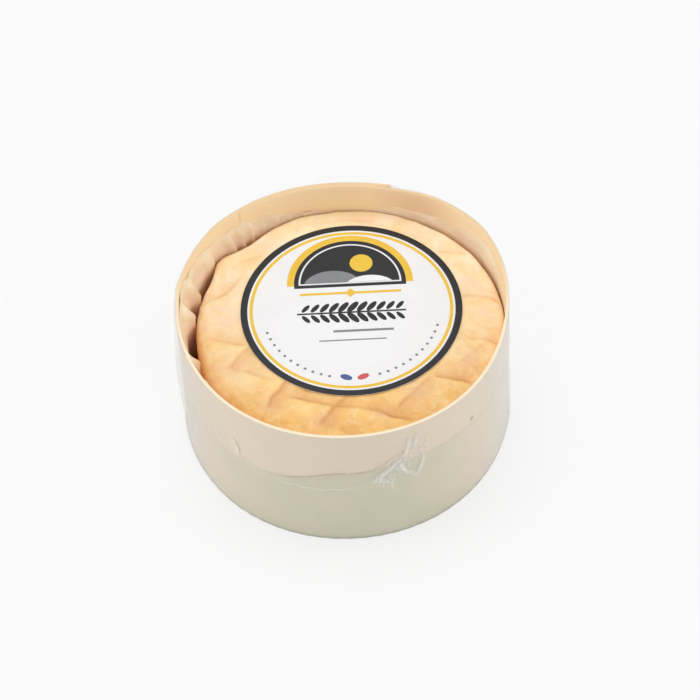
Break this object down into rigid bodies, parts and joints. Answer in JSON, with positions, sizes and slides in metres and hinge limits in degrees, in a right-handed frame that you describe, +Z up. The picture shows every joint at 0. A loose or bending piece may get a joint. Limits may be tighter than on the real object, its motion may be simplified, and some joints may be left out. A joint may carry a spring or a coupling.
{
  "type": "washed-rind cheese",
  "caption": "Small round washed-rind cheese with a round paper label, in a pleated paper cup inside a veneer box with clear wrap round its side.",
  "frame": {"origin": "centre of the base, on the plane the box stands on", "axes": "+Z up, -Y towards the front, the side from which the label is the right way up"},
  "size_m": [0.1034, 0.1017, 0.05],
  "materials": {
    "veneer": "bare peeled poplar veneer, fine straight grain round the hoop",
    "base_wood": "bare thin wood, straight grain",
    "cup_paper": "thin matt greaseproof paper, pleated",
    "rind": "moist orange-yellow washed rind with pale bloom and shallow creases",
    "label_paper": "smooth white label, dark outer ring, thin gold ring, plain shapes",
    "clear_film": "thin clear shrink wrap with creases"
  },
  "bodies": {
    "root": {"veneer_hoop": "veneer", "base_disc": "base_wood", "paper_cup": "cup_paper", "cheese": "rind", "label": "label_paper", "film_wrap": "clear_film"}
  },
  "joints": []
}
